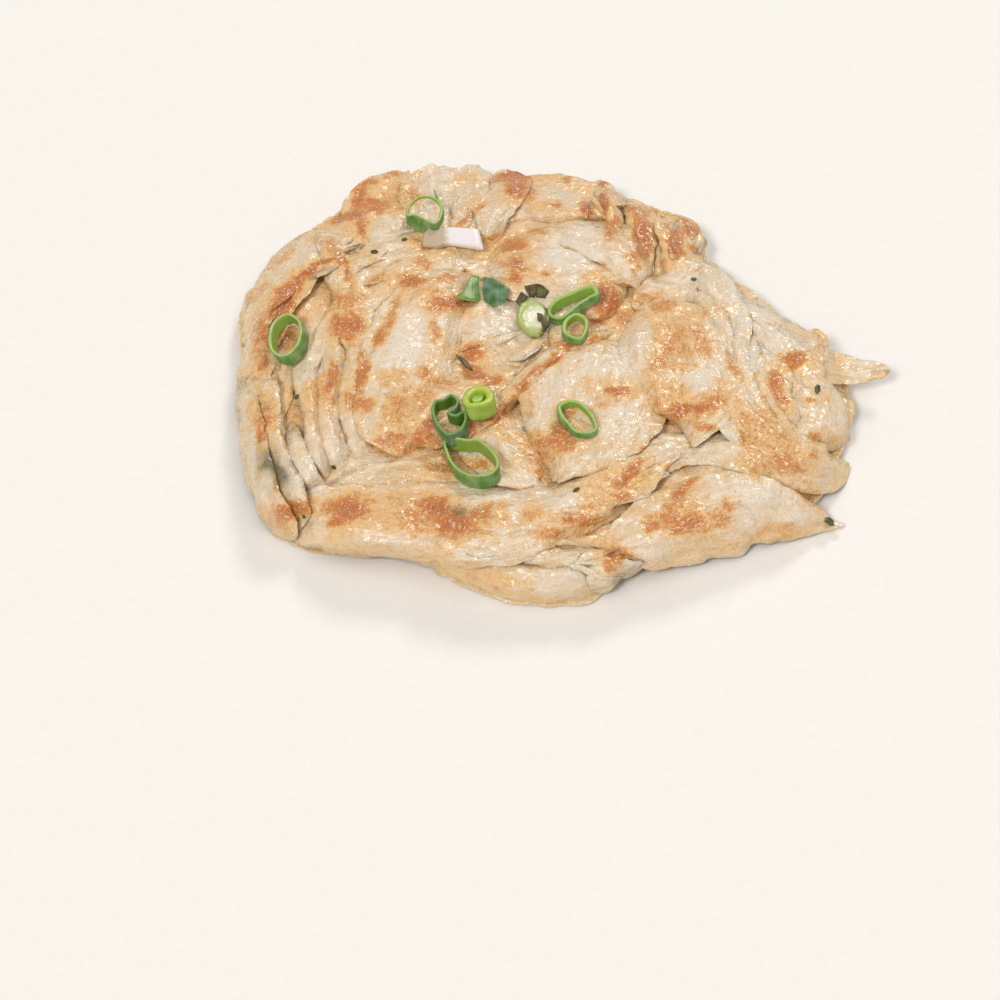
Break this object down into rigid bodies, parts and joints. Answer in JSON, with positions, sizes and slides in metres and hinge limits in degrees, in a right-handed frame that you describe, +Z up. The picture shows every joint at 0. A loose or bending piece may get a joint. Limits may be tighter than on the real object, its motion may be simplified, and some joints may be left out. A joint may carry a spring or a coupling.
{
  "type": "flaky scallion flatbread",
  "caption": "Round pan-fried flatbread of many thin dough layers, scrunched into loose folds, with cut scallion and a slice of onion on top.",
  "frame": {"origin": "on the ground under the middle of the bread's plan", "axes": "+Z up out of the bread's best side, +X along its longest extent towards the thin tip, +Y towards its back edge"},
  "size_m": [0.1884, 0.1754, 0.0221],
  "materials": {
    "dough": "pan-fried dough, browned in spots, slightly oily",
    "scallion_green": "moist cut green leaf",
    "scallion_dark": "moist dark green leaf",
    "scallion_pale": "moist pale cut end",
    "scallion_scorched": "scorched, dry",
    "onion": "moist white flesh"
  },
  "bodies": {
    "root": {"bread": "dough", "scallion_ring_left": "scallion_green", "scallion_ring_back": "scallion_green", "scallion_bulb_pale": "scallion_pale", "scallion_scorched": "scallion_scorched", "scallion_loop": "scallion_green", "scallion_ring_small": "scallion_green", "scallion_curl_dark": "scallion_dark", "scallion_tube_lime": "scallion_green", "scallion_ring_front": "scallion_green", "scallion_ring_middle": "scallion_dark", "scallion_leaf_light": "scallion_green", "scallion_leaf_dark": "scallion_dark", "onion_white": "onion"}
  },
  "joints": []
}
